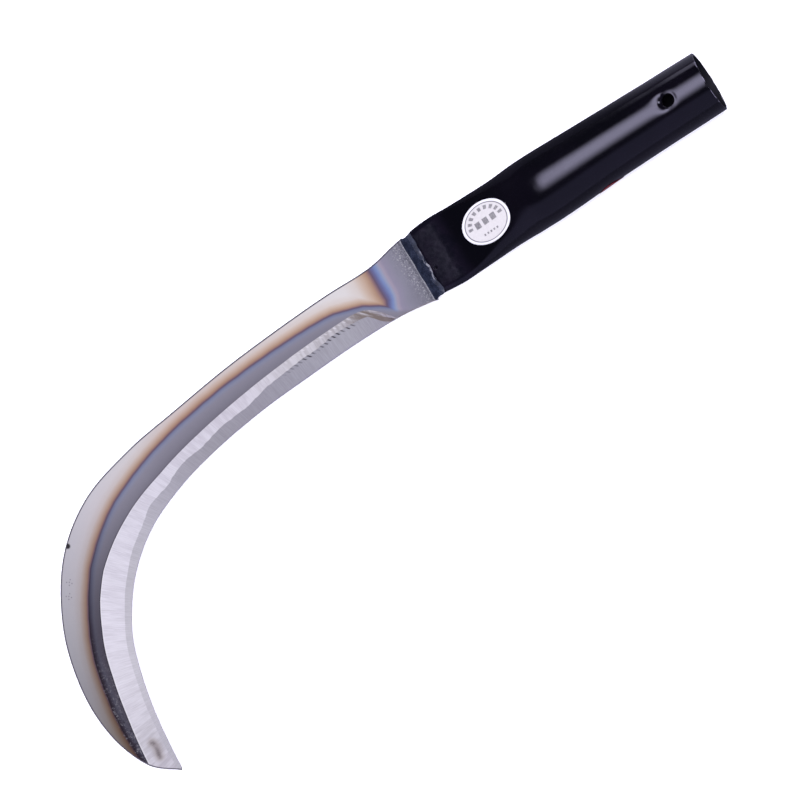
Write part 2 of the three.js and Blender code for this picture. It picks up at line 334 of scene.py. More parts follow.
class Shader(Tree):
    """A material's node tree. Colours of 0 to 255 are sRGB, and places are row-frame millimetres."""

    def __init__(self, name):
        super().__init__(bpy.data.materials.new(name))

    def attribute(self, name):
        n = self.node("Attribute")
        n.attribute_name = name
        return n.outputs["Fac"]

    def ramp(self, value, stops):
        """A colour ramp through stops of (value, colour)."""
        low, high = stops[0][0], stops[-1][0]
        n = self.node("ValToRGB")
        elements = n.color_ramp.elements
        while len(elements) < len(stops):
            elements.new(0.5)
        for element, (position, colour) in zip(elements, stops):
            element.position = (position - low) / (high - low)
            element.color = (*linear(colour), 1)
        spot = self.node("MapRange", Value=value, From_Min=low, From_Max=high)
        self.put(n.inputs["Fac"], spot.outputs["Result"])
        return n.outputs["Color"]

    def mix(self, factor, a, b, blend="MIX"):
        n = self.node("Mix")
        n.data_type = "RGBA"
        n.blend_type = blend
        for index, value in ((0, factor), (6, a), (7, b)):
            self.put(n.inputs[index], value)
        return n.outputs[2]

    def paint(self, base, *coats):
        """Coats over the base. Each is a colour and the masks that it shows through."""
        for colour, *masks in coats:
            base = self.mix(self.times(*masks), base, linear(colour))
        return base

    def shades(self, value, low, high, first, second):
        """From one colour to another as a value goes from low to high."""
        return self.mix(self.span(value, low, high), linear(first), linear(second))

    def vector(self, x, y):
        return self.node("CombineXYZ", X=x, Y=y).outputs[0]

    def noise(self, place, scale, detail=2.0, roughness=0.5):
        n = self.node("TexNoise", Vector=place, Scale=scale, Detail=detail, Roughness=roughness)
        return n.outputs["Fac"]

    def position(self, shift=0.0):
        """Where the surface is, with the same shift along every axis."""
        n = self.node("VectorMath")
        n.operation = "MULTIPLY_ADD"
        self.put(n.inputs[0], self.node("TexCoord").outputs["Object"])
        self.put(n.inputs[1], (1 / MM,) * 3)
        self.put(n.inputs[2], (shift,) * 3)
        return n.outputs[0]

    def spots(self, place, centres, radius, soft, height=BLADE_FRONT):
        """1 inside round spots at head x, y at a height, fading to 0 over soft millimetres."""
        nearest = None
        for x, y in centres:
            middle = tuple(to_row((x, y, height)) / MM)
            away = self.math("DISTANCE", place, middle, kind="VectorMath")
            nearest = away if nearest is None else self.math("MINIMUM", nearest, away)
        return self.span(nearest, radius + soft / 2, radius - soft / 2)

    def bump(self, height, distance, strength=1.0, normal=None):
        n = self.node("Bump", Height=height, Distance=distance, Strength=strength)
        if normal is not None:
            self.put(n.inputs["Normal"], normal)
        return n.outputs[0]

    def finish(self, **inputs):
        for key, value in inputs.items():
            self.put(self.nodes["Principled BSDF"].inputs[key.replace("_", " ")], value)
        return self.owner


# -------- blade

# Heat tints of the polished face, by distance from the turning line into the straw-coloured side.
STRAW_STOPS = (
    (0, (104, 88, 112)), (1, (142, 112, 118)), (2.5, (176, 142, 127)), (4.5, (193, 164, 150)),
    (7, (206, 184, 176)), (10, (216, 203, 204)), (16, (222, 214, 220)), (24, (222, 216, 224)),
)
# Away from the line towards the weld.
ROOT_STOPS = (
    (0, (104, 88, 112)), (1.6, (104, 106, 150)), (3.4, (122, 137, 184)), (4.8, (146, 153, 182)),
    (6.2, (160, 150, 170)), (8, (144, 138, 161)), (12, (137, 135, 153)), (17, (128, 126, 142)),
    (22, (119, 118, 132)),
)
# Away from the line towards the ground bevel: thin blue, then grey scale.
SCALE_STOPS = (
    (0, (100, 86, 106)), (0.9, (118, 122, 152)), (2, (132, 134, 157)), (3.6, (134, 131, 147)),
    (7, (126, 123, 138)), (11, (112, 108, 122)),
)
SCALE_DARK_STOPS = (
    (0, (34, 26, 32)), (1.3, (54, 49, 62)), (2.8, (76, 74, 88)), (4.5, (76, 72, 85)),
    (8, (66, 62, 72)),
)
# The polished face darkens towards the point, a painted falloff of its reflection: its share of the straw
# colours, by rib number.
FACE_REFLECTION_FADE = (
    (3, (250, 253, 251)), (4, (246, 247, 245)), (5, (240, 239, 237)), (6, (238, 235, 234)),
    (7, (236, 238, 238)), (8, (226, 227, 230)), (9, (208, 210, 214)), (10, (189, 192, 196)),
    (11, (166, 168, 172)), (12, (146, 145, 143)), (12.6, (132, 130, 131)),
)
# Ground steel, by rib number.
MAIN_GROUND = (
    (2, (144, 136, 139)), (3, (170, 165, 173)), (4, (198, 194, 202)), (5, (204, 199, 211)),
    (7, (208, 204, 216)), (9, (213, 209, 221)), (10, (218, 214, 226)), (11, (216, 212, 223)),
    (12, (206, 202, 213)), (12.6, (194, 190, 200)), (13.2, (190, 185, 197)),
)
FINE_GROUND = (
    (2.4, (159, 156, 167)), (3, (168, 166, 176)), (4, (161, 159, 170)), (5, (155, 152, 163)),
    (6, (158, 155, 164)), (7, (169, 166, 176)), (8, (186, 183, 193)), (9, (191, 188, 197)),
    (10, (199, 196, 206)), (11, (203, 200, 210)), (12, (198, 194, 205)), (13, (189, 186, 197)),
)


def cross_line(y):
    """X of the tint line that crosses the root, at a given Y. It bends towards the point at the edge."""
    AT, BEND = -195.6, 2.9
    return AT - BEND * smoothstep(-4, -12, y)


def blade_rows():
    """Rib numbers of the rows along the blade. Those below 0 are the tang."""
    ROWS_PER_RIB = 46
    return np.concatenate([[-1.0, -0.5, -0.002], np.arange(LAST_RIB * ROWS_PER_RIB + 1) / ROWS_PER_RIB])


def blade_sides(rows):
    """The back and the edge point of each row."""
    both = spline(RIBS, rows)
    back, edge = both[:, :2].copy(), both[:, 2:].copy()
    tang = rows < 0
    x = BLADE_ROOT - rows[tang] * TANG_LENGTH
    back[tang] = np.stack([x, np.full_like(x, TANG_HALF)], -1)
    edge[tang] = np.stack([x, np.full_like(x, -TANG_HALF)], -1)
    return back, edge


def fine_boundary(rows, along):
    """The finer bevel's reach. Its border is ragged where the wheel chattered."""
    ragged = np.stack([along, np.zeros_like(along), np.zeros_like(along)], -1)
    steps = grain(ragged, 15, 3) * 1.2 + grain(ragged, 2.8, 4) * 0.35
    strength = smoothstep(2.6, 3.1, rows) * (1 - 0.7 * smoothstep(7.5, 9, rows))
    return lookup(FINE_BEVEL, rows) + steps * strength


def blade():
    EDGE_THICKNESS = 0.3
    CORNER = 0.35
    FINE_STEEPER = 1.25
    BEVEL_EASE, FINE_EASE = 0.3, 0.18
    REAR_EASE = 1.4
    HAIR = 0.015
    HOLLOW = 0.1
    rows = blade_rows()
    back, edge = blade_sides(rows)
    width = np.linalg.norm(back - edge, axis=1)
    middle = (back + edge) / 2
    along = np.concatenate([[0], np.cumsum(np.linalg.norm(np.diff(middle, axis=0), axis=1))])
    along -= along[np.searchsorted(rows, 0)]

    bevel = lookup(BEVEL, rows)
    wander = np.stack([along, np.ones_like(along), np.zeros_like(along)], -1)
    bevel = bevel + grain(wander, 30, 1) * 0.35 * smoothstep(2.5, 3.2, rows)
    fine = np.minimum(fine_boundary(rows, along), 0.85 * bevel)
    tint = lookup(TINT_LINE, rows)
    ground = smoothstep(1.98, 2.2, rows)

    # Marks from the back to the edge, each at least a hair from the last.
    marks = [width - CORNER]
    for wanted in (np.maximum(tint, bevel + 1), bevel + BEVEL_EASE, bevel - BEVEL_EASE,
                   fine + FINE_EASE, fine - FINE_EASE):
        marks.append(np.minimum(wanted, marks[-1] - HAIR))
    marks.append(np.full_like(width, 0.0))
    marks = [np.maximum(m, (len(marks) - 1 - k) * 0.01) for k, m in enumerate(marks)]
    columns_between = (12, 9, 3, 8, 2, 9)

    front = []
    for k, count in enumerate(columns_between):
        for i in range(count):
            front.append(marks[k] + (marks[k + 1] - marks[k]) * i / count)
    front.append(marks[-1])
    front = np.array(front)

    edge_height = EDGE_THICKNESS + (BLADE_THICKNESS - EDGE_THICKNESS) * (1 - ground)
    rise = BLADE_THICKNESS - edge_height

    def front_height(d):
        share = np.clip(d / bevel, 0, 1)
        fine_share = fine / bevel
        steep = FINE_STEEPER * share
        rest = (1 - FINE_STEEPER * fine_share) / (1 - fine_share)
        shallow = FINE_STEEPER * fine_share + rest * (share - fine_share)
        hollow = np.clip((d - bevel) / np.maximum(tint - bevel, 1), 0, 1)
        sink = HOLLOW * np.sin(math.pi * hollow) * smoothstep(2.2, 3, rows)
        return edge_height + rise * np.where(d < fine, steep, shallow) - sink

    top = front_height(width)
    turns = [(CORNER * (1 - math.sin(t)), CORNER * (1 - math.cos(t))) for t in QUARTER_TURN]
    loop = [(width - back_off, top - down) for back_off, down in turns[::-1]]
    loop += [(d, front_height(d)) for d in front]
    front_end = len(loop)
    rear_lift = 0.1 * ground
    loop.append((np.full_like(width, -0.03), (edge_height + rear_lift) / 2))
    ease = REAR_EASE * np.minimum(1, width / 4)
    loop += [(ease * share, rear_lift * (1 - share)) for share in (0, 3 / 7, 1)]
    for share in np.linspace(0.08, 1, 14):
        loop.append((ease + (width - CORNER - ease) * share, np.zeros_like(width)))
    loop += [(width - back_off, np.minimum(up, top / 2)) for back_off, up in turns]
    loop[0] = (loop[0][0], np.maximum(loop[0][1], top / 2 + 0.01))

    d, z = [np.array([np.broadcast_to(item[k], width.shape) for item in loop]).T for k in (0, 1)]
    across = (back - edge) / width[:, None]
    flat = edge[:, None, :] + across[:, None, :] * d[..., None]
    points = np.concatenate([flat, (BLADE_REAR + z)[..., None]], -1)
    count_rows, columns = d.shape
    points = points.reshape(-1, 3)

    def spread(values):
        return np.repeat(values, columns)

    is_front = np.tile((np.arange(columns) < front_end).astype(float), count_rows)
    d_flat = d.reshape(-1)
    points[:, 2] += root_scale(points, is_front)
    last = (count_rows - 1) * columns
    faces = [*grid_faces(count_rows, columns, wrap_columns=True)]
    faces += [range(columns), range(last, last + columns)]
    # Millimetres in from the edge, from each line and from the back, millimetres along the blade, and
    # the rib number.
    attributes = {
        "edge": d_flat,
        "bevel": d_flat - spread(bevel),
        "fine": d_flat - spread(fine),
        "tint": d_flat - spread(tint),
        "cross": cross_line(points[:, 1]) - points[:, 0],
        "along": spread(along),
        "rib": spread(rows),
        "front": is_front,
        "back": spread(width) - d_flat,
    }
    return make_piece("blade_ground", points, faces, blade_steel(), "blade", attributes)


def root_scale(points, is_front):
    """Height of the crust of forging scale and weld spatter on the front of the root."""
    CRUST = 0.22
    near_weld = smoothstep(-192, -176, points[:, 0]) * (points[:, 0] < BLADE_ROOT + 0.5)
    lumps = np.maximum(grain(points, 2.6, 7, 2), 0) * CRUST
    return lumps * near_weld * is_front


def blade_steel():
    s = Shader("blade_steel")
    names = "edge bevel fine tint cross along rib front back".split()
    edge, bevel, fine, tint, cross, along, rib, front, back = [s.attribute(name) for name in names]
    place = s.position()

    # The straw field closes where the two tint lines meet, so its depth is the smaller distance.
    waver = s.math("SUBTRACT", s.noise(place, 0.09, 3), 0.5)
    past_line = s.math("ADD", tint, s.times(waver, 0.9))
    long_depth = s.times(past_line, 2.1)
    cross_depth = s.math("ADD", cross, s.times(waver, 1.6))
    depth = s.math("SMOOTH_MIN", long_depth, cross_depth, 1.5)
    # The straw colours darken towards the point: a painted falloff of the face's reflection.
    straw = s.mix(1.0, s.ramp(depth, STRAW_STOPS), s.ramp(rib, FACE_REFLECTION_FADE), "MULTIPLY")
    root = s.ramp(s.times(cross_depth, -1), ROOT_STOPS)
    below = s.times(past_line, -1)
    scale = s.mix(s.span(rib, 7.2, 10.4), s.ramp(below, SCALE_STOPS), s.ramp(below, SCALE_DARK_STOPS))
    outside = s.mix(s.span(s.math("SUBTRACT", cross_depth, long_depth), -2.5, 2.5), root, scale)
    face = s.mix(s.span(depth, -0.3, 0.3), outside, straw)

    # Crumbs of scale by the weld, a shadow and a paler rim beside the bead, and pits in the dark band.
    grit = s.noise(place, 0.75, 5, 0.7)
    crumbs = s.noise(s.position(40), 1.05, 4, 0.75)
    near_weld = s.times(s.span(rib, 1.5, 0.1), s.span(edge, 4, 22, 0.5, 1))
    shadow = s.times(s.span(rib, 0.24, 0.3), s.span(rib, 0.6, 0.42))
    pitted = s.times(s.span(rib, 9.6, 12.4), s.span(tint, 1.5, -0.5))
    face = s.paint(
        face,
        ((86, 86, 99), near_weld, s.span(grit, 0.5, 0.6)),
        ((176, 176, 187), s.span(near_weld, 0, 0.45), s.span(crumbs, 0.54, 0.6)),
        ((90, 89, 103), shadow, s.span(grit, 0.3, 0.55, 0.9, 0.35)),
        ((156, 156, 168), s.span(rib, 0.28, 0.22), s.span(grit, 0.35, 0.55, 0.9, 0.45)),
        ((118, 116, 126), pitted, s.span(grit, 0.52, 0.66)),
        ((40, 36, 42), pitted, s.span(grit, 0.44, 0.34)))

    # Ground bevels, scratched across by the wheel.
    streaks = s.noise(s.vector(s.times(along, 2.2), s.times(edge, 0.11)), 1, 4, 0.65)
    broad = s.noise(s.vector(s.times(along, 0.34), s.times(edge, 0.06)), 1)
    scratched = s.span(streaks, 0.34, 0.66, 0.9, 1.06)
    fine_ground = s.mix(1.0, s.ramp(rib, FINE_GROUND), scratched, "MULTIPLY")
    main_ground = s.mix(1.0, s.ramp(rib, MAIN_GROUND), scratched, "MULTIPLY")
    # Where the wheel first bit, the steel is burnt in slanting brown streaks with bright ones between.
    slant = s.math("SUBTRACT", s.times(edge, 0.62), s.times(along, 0.56))
    slanted = s.noise(s.vector(slant, s.times(edge, 0.06)), 1, 3, 0.6)
    main_ground = s.paint(
        main_ground,
        ((234, 231, 242), s.span(broad, 0.42, 0.6, 0, 0.3)),
        ((122, 110, 106), s.span(rib, 3.0, 2.5), s.span(slanted, 0.42, 0.56, 0, 0.9)),
        ((190, 184, 196), s.span(rib, 3.1, 2.6), s.span(slanted, 0.42, 0.34, 0, 0.7)))
    ground = s.mix(s.span(fine, -0.2, 0.2), fine_ground, main_ground)
    # Chatter: painted shade in short slanting dents inside the finer bevel's border, and their painted
    # glints at the main one's.
    phase = s.math("SUBTRACT", s.times(along, 1 / CHATTER_PITCH), s.times(edge, 0.3))
    chatter_shade_and_glint = s.span(s.math("PINGPONG", phase, 0.5), 0.24, 0.1)
    uneven = s.span(s.noise(s.vector(along, 0.0), 0.16, 1), 0.36, 0.58, 0.3, 1)
    chatter_shade_and_glint = s.times(chatter_shade_and_glint, s.span(rib, 2.6, 2.9), s.span(rib, 4.6, 3.7), uneven)
    ground = s.paint(
        ground,
        ((66, 62, 70), chatter_shade_and_glint, s.span(fine, -1.9, -1.2), s.span(fine, 0.3, -0.2, 0, 0.95)),
        ((226, 222, 232), chatter_shade_and_glint, s.span(bevel, -1.7, -1.1), s.span(bevel, 0, -0.4, 0, 0.6)))

    # A painted highlight along the crease and a painted shadow line beside it mark the border of the
    # grinding.
    # Then come painted shade on the back's corner, the nick, the burn with its halo, and the dots.
    scorched = s.span(s.noise(place, 0.4, 3), 0.3, 0.6, 0.45, 1)
    dots = [(x + dx, y + dy) for x, y in DOT_GROUPS for dx, dy in DOT_PATTERN]
    colour = s.paint(
        s.mix(s.span(bevel, 0.06, -0.06), face, ground),
        ((238, 235, 244), s.span(bevel, -0.7, -0.3), s.span(bevel, 0.05, -0.05), s.span(rib, 7, 9, 0, 0.45)),
        ((48, 45, 55), s.span(bevel, 0.8, 0.1), s.span(bevel, -0.05, 0.05), s.span(rib, 4.5, 9.5, 0, 0.6)),
        ((84, 80, 92), s.span(back, 1.0, 0.45)),
        ((52, 50, 56), s.spots(place, (NICK,), 1.35, 0.9)),
        ((158, 146, 146), s.spots(place, BURN, 2.6, 3), 0.6),
        ((60, 49, 58), s.spots(place, BURN, 1.3, 2.2), scorched),
        ((108, 103, 114), s.spots(place, dots, DOT_RADIUS, 0.25), 0.6))

    # The rear side keeps a plain grey mill finish with streaks along the blade.
    mill = s.noise(s.vector(s.times(along, 0.1), s.times(edge, 2.4)), 1, 4, 0.6)
    rear = s.shades(mill, 0.3, 0.7, (128, 125, 138), (158, 155, 168))
    rear = s.paint(rear, ((120, 112, 118), s.span(s.noise(place, 0.05, 3), 0.5, 0.7)))
    rear_edge = s.shades(streaks, 0.3, 0.7, (176, 173, 186), (208, 205, 216))
    rear = s.mix(s.span(edge, 1.6, 1.3), rear, rear_edge)
    colour = s.mix(front, rear, colour)

    is_ground = s.times(s.span(bevel, 0.05, -0.05), front)
    worn = s.span(s.noise(place, 0.5, 4), 0.35, 0.65, 0, 0.35)
    rough = s.level(worn, s.level(is_ground, 0.3, 0.44), 0.5)
    scratches = s.bump(s.times(streaks, is_ground), 0.00004, 0.35)
    crust = s.bump(s.times(grit, s.math("MAXIMUM", near_weld, pitted)), 0.0002, 0.8, scratches)
    return s.finish(Base_Color=colour, Metallic=1.0, Roughness=rough, Normal=crust)


# -------- socket

def socket_size(from_mouth):
    """Width and height of the socket at distances from the mouth."""
    fine_steps = np.linspace(0, len(SOCKET_STATIONS) - 1, 600)
    dense = spline(SOCKET_STATIONS, fine_steps)
    heights = np.maximum(dense[:, 2], FLAT_HEIGHT)
    return np.interp(from_mouth, dense[:, 0], dense[:, 1]), np.interp(from_mouth, dense[:, 0], heights)


def half_perimeter(from_mouth):
    width, height = socket_size(from_mouth)
    return math.pi * height / 2 + (width - height)


def section_point(from_mouth, arc, inset):
    """Y and Z on the pressed tube's section. arc is measured on the outer surface from the middle of the
    front, positive towards the back of the blade."""
    width, height = socket_size(from_mouth)
    flat, radius = (width - height) / 2, height / 2
    past = np.clip(np.abs(arc) - flat, 0, math.pi * radius)
    rear = np.maximum(np.abs(arc) - flat - math.pi * radius, 0)
    turn = past / radius
    side = np.where(arc < 0, -1.0, 1.0)
    out = np.minimum(np.abs(arc), flat) - rear + (radius - inset) * np.sin(turn)
    # Where the tube is still nearly round it is an oval, without flats.
    round_turn = arc / half_perimeter(from_mouth) * math.pi
    oval = smoothstep(0.5, 0.85, height / width)
    y = (1 - oval) * side * out + oval * (width / 2 - inset) * np.sin(round_turn)
    z = (1 - oval) * np.cos(turn) + oval * np.cos(round_turn)
    return y + lookup(SOCKET_SWAY, from_mouth), radius + (radius - inset) * z


def socket_surface(from_mouth, arc, inset):
    """Points of the socket's wall: the pressed section with its corners eased, the dent beside the screw
    hole and the butt seam of the rolled sheet along the rear."""
    from_mouth, arc = np.asarray(from_mouth, float), np.asarray(arc, float)
    inset = np.broadcast_to(np.asarray(inset, float), from_mouth.shape)
    height = socket_size(from_mouth)[1]
    window = 0.2 * height / 2 * smoothstep(2, 30, from_mouth)
    half = half_perimeter(from_mouth)
    y, z = np.zeros_like(from_mouth), np.zeros_like(from_mouth)
    shares = (-1, -0.5, 0, 0.5, 1)
    for share in shares:
        shifted = arc + window * share
        wrapped = (shifted + half) % (2 * half) - half
        yy, zz = section_point(from_mouth, wrapped, inset)
        y += yy / len(shares)
        z += zz / len(shares)
    # The wall is dented round the hole, most on the side of the blade.
    past = from_mouth - SCREW_HOLE["from_mouth"]
    aside = arc - SCREW_HOLE["side"]
    rho = np.hypot(past, aside)
    beyond = np.maximum(rho - SCREW_HOLE["radius"], 0)
    towards_blade = np.clip((past + 0.15 * aside) / (rho + 1e-9), 0, 1) ** 2.4
    spread = 1.5 + 0.8 * towards_blade
    towards_mouth = np.clip(-past / (rho + 1e-9), 0, 1) ** 1.5
    sink = (0.1 + 1.8 * towards_blade + 0.12 * towards_mouth) * np.exp(
        -(beyond / spread) ** (2 - 0.85 * towards_blade))
    # Seam: a narrow groove with rounded lips on the rear.
    from_seam = half - np.abs(arc)
    groove = 0.55 * np.exp(-(from_seam / 0.35) ** 2) + 0.16 * np.exp(-(from_seam / 1.5) ** 2)
    centre = height / 2
    length = np.hypot(y, z - centre) + 1e-9
    sag = sink + np.where(inset < WALL / 2, groove, 0.0)
    y = y - y / length * sag
    z = z + (centre - z) / length * sag
    return np.stack([-from_mouth, y, z], -1)


def socket_columns():
    """Arc shares from -0.5 to 0.5 of the perimeter, closer together next to the seam."""
    plain = np.linspace(-0.465, 0.465, 125)
    seam = 0.5 - np.array([0.0035, 0.0075, 0.012, 0.018, 0.026])
    return np.concatenate([[-0.5], -seam, plain, seam[::-1]])


def socket():
    RIM = 0.28
    PATCH, PATCH_RINGS = 9.0, 14
    hole_x, hole_arc = SCREW_HOLE["from_mouth"], SCREW_HOLE["side"]
    shares = socket_columns()
    patch_x = np.linspace(hole_x - PATCH, hole_x + PATCH, 25)
    outer = np.concatenate([np.linspace(SOCKET_END, hole_x + PATCH, 128)[:-1], patch_x[::-1],
                            np.linspace(hole_x - PATCH, RIM, 16)[1:]])
    inner = np.concatenate([np.linspace(RIM, hole_x - PATCH, 6)[:-1], patch_x,
                            np.linspace(hole_x + PATCH, SOCKET_END, 52)[1:]])
    rim_out = [(RIM * (1 - math.sin(t)), RIM * (1 - math.cos(t))) for t in QUARTER_TURN]
    rim_in = [(x, WALL - inset) for x, inset in rim_out[::-1]]
    rings = ([(x, 0.0) for x in outer] + rim_out + rim_in + [(x, WALL) for x in inner])
    ring_x = np.array([r[0] for r in rings])
    ring_inset = np.array([r[1] for r in rings])
    rows, columns = len(rings), len(shares)

    x = np.repeat(ring_x, columns)
    inset = np.repeat(ring_inset, columns)
    arc = np.tile(shares, rows) * 2 * half_perimeter(x)
    points = socket_surface(x, arc, inset)

    # Cells of the wall that a round patch with the hole takes over, outside and inside.
    at_hole = half_perimeter(np.array([hole_x]))[0] * 2
    inside = np.abs(shares * at_hole - hole_arc) <= PATCH * 0.8
    first, last = np.flatnonzero(inside)[[0, -1]]
    out_from = int(np.argmin(np.abs(outer - patch_x[-1])))
    out_to = out_from + len(patch_x) - 1
    in_from = len(outer) + len(rim_out) + len(rim_in) + int(np.argmin(np.abs(inner - patch_x[0])))
    in_to = in_from + len(patch_x) - 1

    def keep(r, c):
        in_columns = (c >= first) & (c < last)
        in_rows = ((r >= out_from) & (r < out_to)) | ((r >= in_from) & (r < in_to))
        return ~(in_columns & in_rows)

    faces = [*grid_faces(rows, columns, True, True, keep)]
    numbers = np.arange(rows * columns).reshape(rows, columns)
    extra_points, circles = [], []
    offset = len(points)
    for low, high, level in ((out_from, out_to, 0.0), (in_from, in_to, WALL)):
        patch = numbers[low:high + 1, first:last + 1]
        # The inner rows run the other way along the socket.
        loop = border(patch[::-1] if level > 0 else patch)
        bx, ba = x[loop], arc[loop]
        turn = np.arctan2(ba - hole_arc, bx - hole_x)
        cx = hole_x + SCREW_HOLE["radius"] * np.cos(turn)
        ca = hole_arc + SCREW_HOLE["radius"] * np.sin(turn)
        previous = loop
        for k in range(1, PATCH_RINGS + 1):
            share = 1 - (1 - k / PATCH_RINGS) ** 1.35
            px, pa = bx + (cx - bx) * share, ba + (ca - ba) * share
            extra_points.append(socket_surface(px, pa, np.full_like(px, level)))
            ring = offset + np.arange(len(loop))
            offset += len(loop)
            faces += [*bridge(previous, ring)]
            previous = ring
        circles.append(previous)
    faces += [*bridge(*circles)]
    points = np.concatenate([points, *extra_points])

    # The sheet isn't perfectly even: shallow hollows, and a slightly uneven cut at the mouth.
    HOLLOWS, ASKEW, NICK_DEPTH, RAGGED = 0.06, 1.0, 0.75, 0.12
    uneven = np.maximum(grain(points, 26, 11, 2), -0.6) + 0.6
    inward = points * [0, 1, 1] - [0, 0, 1] * (socket_size(-points[:, 0])[1] / 2)[:, None]
    inward /= np.linalg.norm(inward, axis=1)[:, None] + 1e-9
    points -= inward * (HOLLOWS * uneven)[:, None]
    # The mouth is cut a little askew and its lip is ragged, with one nick.
    near_mouth = smoothstep(-7, 0, points[:, 0])
    askew = ASKEW * (1 - points[:, 2] / MOUTH_DIAMETER)
    nick = NICK_DEPTH * np.exp(-((points[:, 1] + 2.6) / 1.7) ** 2) * (points[:, 2] > MOUTH_DIAMETER / 2)
    ragged = RAGGED * (grain(points * [0, 1, 1], 3, 12, 2) + 1.2)
    lip = smoothstep(-1.6, -0.1, points[:, 0])
    points[:, 0] -= near_mouth * askew + lip * (ragged + nick)

    levels = np.repeat([0.0, WALL], PATCH_RINGS)
    insets = np.concatenate([inset, *[np.full(len(e), level) for e, level in zip(extra_points, levels)]])
    attributes = {"from_mouth": -points[:, 0], "inside": insets / WALL}
    paint = socket_paint()
    return make_piece("socket_pressed", points, faces, paint, "socket", attributes)


def socket_paint():
    s = Shader("socket_paint")
    place = s.position()
    from_mouth, inside = s.attribute("from_mouth"), s.attribute("inside")
    colour = s.shades(s.noise(place, 0.035, 3), 0.35, 0.65, (3, 3, 5), (5, 4, 8))
    chip = s.times(s.span(from_mouth, 0.55, 0.15), s.span(s.noise(place, 0.22, 4), 0.5, 0.56))
    bore = s.span(inside, 0.6, 0.95)
    colour = s.paint(
        colour,
        ((60, 58, 70), s.span(s.noise(place, 1.7, 4, 0.75), 0.68, 0.8, 0, 0.25)),
        ((176, 174, 186), chip),
        ((10, 9, 11), bore))
    # The weld's heat and smoke dulled the flattened end.
    smoke = s.shades(s.noise(place, 0.13, 4, 0.6), 0.35, 0.65, (6, 6, 12), (12, 9, 17))
    colour = s.mix(s.times(s.span(from_mouth, 147, 154), s.span(inside, 0.6, 0.2)), colour, smoke)
    # A painted glint on a drop of paint that dried in the dent of the screw hole, and a pit beside the weld.
    drop_glint = s.spots(place, (DROP_GLINT[:2],), 0.5, 0.6, DROP_GLINT[2])
    colour = s.paint(colour, ((120, 120, 126), drop_glint, 0.8))
    orange_peel = s.noise(place, 0.42, 3, 0.45)
    rough = s.level(bore, s.span(orange_peel, 0.3, 0.7, 0.1, 0.14), 0.62)
    pit = s.times(s.spots(place, (WELD_PIT,), 0.4, 1.4, FLAT_HEIGHT), -1)
    skin = s.bump(pit, 0.004, 1.0, s.bump(orange_peel, 0.00003, 0.3))
    return s.finish(Base_Color=colour, Roughness=rough, Normal=skin, Metallic=s.times(chip, 0.9),
                    Specular_Tint=(0.88, 0.86, 1.0))


# -------- weld

def weld_bead(name, node, paint, ends, reach, heights, seed, front=True):
    """A bead that fills the gap between the socket's end and the blade's shoulders. ends are its X on
    the socket and on the blade, reach gives its Y limits at an X, heights its Z at both and below."""
    RUN = 34
    LOWEST = 0.1
    CROWN, LIP, LUMPS = 0.38, 0.32, 0.14
    RIPPLE, RIPPLE_PITCH = 0.05, 2.6
    rows, columns = 220, 52
    uu, vv = [grid.ravel() for grid in np.meshgrid(np.linspace(0, 1, columns), np.linspace(0, 1, rows))]
    run = RUN * (vv - 0.5)
    line = np.stack([run, np.zeros_like(run), np.full_like(run, seed)], -1)
    toe_a = grain(line, 6.4, 21) * 1.15 + grain(line, 1.9, 22) * 0.28
    toe_b = grain(line, 7, 23) * 0.22 + grain(line, 1.5, 27) * 0.08
    x = (ends[0] + toe_a) * (1 - uu) + (ends[1] + toe_b) * uu
    low, high = reach(x)
    y = low + (high - low) * vv
    here = np.stack([x, y, np.full_like(x, seed)], -1)
    at_socket, at_blade, below = heights
    slope = at_socket + (at_blade - at_socket) * smoothstep(0.1, 1.0, uu)
    crown = CROWN * np.sin(math.pi * np.clip(uu, 0, 1)) ** 0.5
    lip_line = (uu - 0.16 - 0.05 * grain(line, 3, 26)) / 0.09
    lip = LIP * np.exp(-lip_line ** 2) * np.clip(0.15 + 2.6 * grain(line, 3.6, 28), 0, 1.5)
    phase = run * 2 * math.pi / RIPPLE_PITCH + (uu - 0.5) ** 2 * 11 + grain(here, 7, 24) * 3
    ripple = RIPPLE * np.sin(phase)
    lumps = grain(here, 2.4, 25, 2) * LUMPS
    side = np.sqrt(np.clip(1 - np.abs(2 * vv - 1) ** 18, 0, 1))
    sign = 1 if front else -1
    rise = (crown + lip + (ripple + lumps) * np.sin(math.pi * uu)) * side
    top = slope + sign * np.maximum(rise, 0.02)
    top = below + sign * np.maximum(sign * (top - below), 0.05)
    top = np.maximum(top, LOWEST)
    under = np.full_like(x, below)
    points = np.concatenate([np.stack([x, y, top], -1), np.stack([x, y, under], -1)])
    upper = grid_faces(rows, columns)
    shift = rows * columns
    loop = border(np.arange(shift).reshape(rows, columns))
    faces = np.concatenate([upper, upper + shift, bridge(loop, loop + shift)])
    return make_piece(name, points, faces, paint, node, {"toe": uu.tolist() * 2})


def side_lump(name, node, paint, centre, seed):
    """A rounded drop of weld on a narrow side of the joint."""
    rows, columns = 36, 56
    polar = np.linspace(0, math.pi, rows)[1:-1]
    turn = np.linspace(0, 2 * math.pi, columns, endpoint=False)
    pp, tt = np.meshgrid(polar, turn, indexing="ij")
    ball = np.stack([np.sin(pp) * np.cos(tt), np.sin(pp) * np.sin(tt), np.cos(pp)], -1).reshape(-1, 3)
    ball = np.concatenate([ball, [[0, 0, 1], [0, 0, -1]]])
    swell = 1 + 0.16 * grain(ball * 3, 2.2, seed, 2)
    points = np.array(centre) + ball * swell[:, None] * LUMP_HALF_SIZE
    body = grid_faces(len(polar), columns, wrap_columns=True)
    top, bottom = len(ball) - 2, len(ball) - 1
    first = np.arange(columns)
    faces = [*body, *fan(top, first), *fan(bottom, first + (len(polar) - 1) * columns)]
    return make_piece(name, points, faces, paint, node, {"toe": np.full(len(points), 0.5)})


